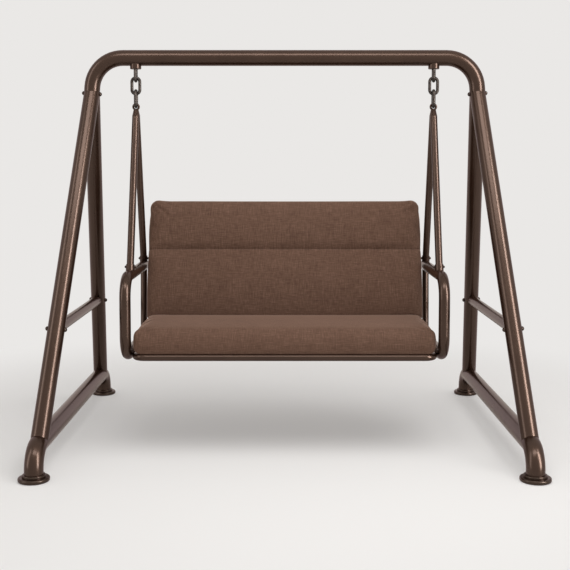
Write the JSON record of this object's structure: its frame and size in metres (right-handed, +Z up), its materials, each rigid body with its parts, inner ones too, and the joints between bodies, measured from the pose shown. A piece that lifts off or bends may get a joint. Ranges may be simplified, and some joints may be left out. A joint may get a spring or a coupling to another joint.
{
  "type": "jhoola swing",
  "caption": "Free-standing jhoola swing: a tubular A-frame stand with a cushioned bench hung on short chains and raked rods.",
  "frame": {"origin": "on the floor at the middle of the stand, under the beam", "axes": "+Z up, +X along the beam to the right of a person facing the bench, -Y towards the front of the bench"},
  "size_m": [2.218, 1.718, 1.8664],
  "materials": {
    "frame_paint": "satin gloss",
    "foot_paint": "satin",
    "slat_paint": "matt",
    "chain_steel": "blackened, worn",
    "fastener_steel": "satin",
    "end_plug": "matt",
    "woven_fabric": "woven melange"
  },
  "bodies": {
    "stand": {"top_beam": "frame_paint", "left_crown_spigot": "frame_paint", "right_crown_spigot": "frame_paint", "left_front_leg": "frame_paint", "right_front_leg": "frame_paint", "left_rear_leg": "frame_paint", "right_rear_leg": "frame_paint", "left_base_rail": "frame_paint", "right_base_rail": "frame_paint", "left_cross_brace": "frame_paint", "right_cross_brace": "frame_paint", "left_front_foot": "foot_paint", "right_front_foot": "foot_paint", "left_rear_foot": "foot_paint", "right_rear_foot": "foot_paint", "left_hanger_boss": "frame_paint", "right_hanger_boss": "frame_paint", "left_hanger_bow": "chain_steel", "right_hanger_bow": "chain_steel", "crown_bolts": "fastener_steel", "crown_nuts": "fastener_steel", "brace_bolts": "fastener_steel", "brace_nuts": "fastener_steel"},
    "upper_links": {"left_upper_link": "chain_steel", "right_upper_link": "chain_steel"},
    "lower_links": {"left_lower_link": "chain_steel", "right_lower_link": "chain_steel"},
    "seat": {"left_hanger_yoke": "frame_paint", "right_hanger_yoke": "frame_paint", "left_front_hanger_rod": "frame_paint", "right_front_hanger_rod": "frame_paint", "left_rear_hanger_rod": "frame_paint", "right_rear_hanger_rod": "frame_paint", "left_front_rod_collar": "frame_paint", "right_front_rod_collar": "frame_paint", "left_rear_rod_collar": "frame_paint", "right_rear_rod_collar": "frame_paint", "left_arm_frame": "frame_paint", "right_arm_frame": "frame_paint", "left_rear_post": "frame_paint", "right_rear_post": "frame_paint", "collar_bolts": "fastener_steel", "collar_nuts": "fastener_steel", "arm_end_caps": "end_plug", "seat_frame": "frame_paint", "seat_bolts": "fastener_steel", "seat_nuts": "fastener_steel", "seat_slats": "slat_paint", "back_frame": "frame_paint", "back_slats": "slat_paint", "seat_cushion": "woven_fabric", "back_cushion": "woven_fabric"}
  },
  "joints": [
    {"name": "chain_top_swing", "type": "hinge", "parent": "stand", "child": "upper_links", "pos_m": [0, 0, 1.73315], "axis": [1, 0, 0], "range_deg": [-25, 25]},
    {"name": "chain_middle_swing", "type": "hinge", "parent": "upper_links", "child": "lower_links", "pos_m": [0, 0, 1.65615], "axis": [1, 0, 0], "range_deg": [-1.5, 1.5]},
    {"name": "bench_swing", "type": "hinge", "parent": "upper_links", "child": "seat", "pos_m": [0, 0, 1.60725], "axis": [1, 0, 0], "range_deg": [-10, 10]}
  ]
}
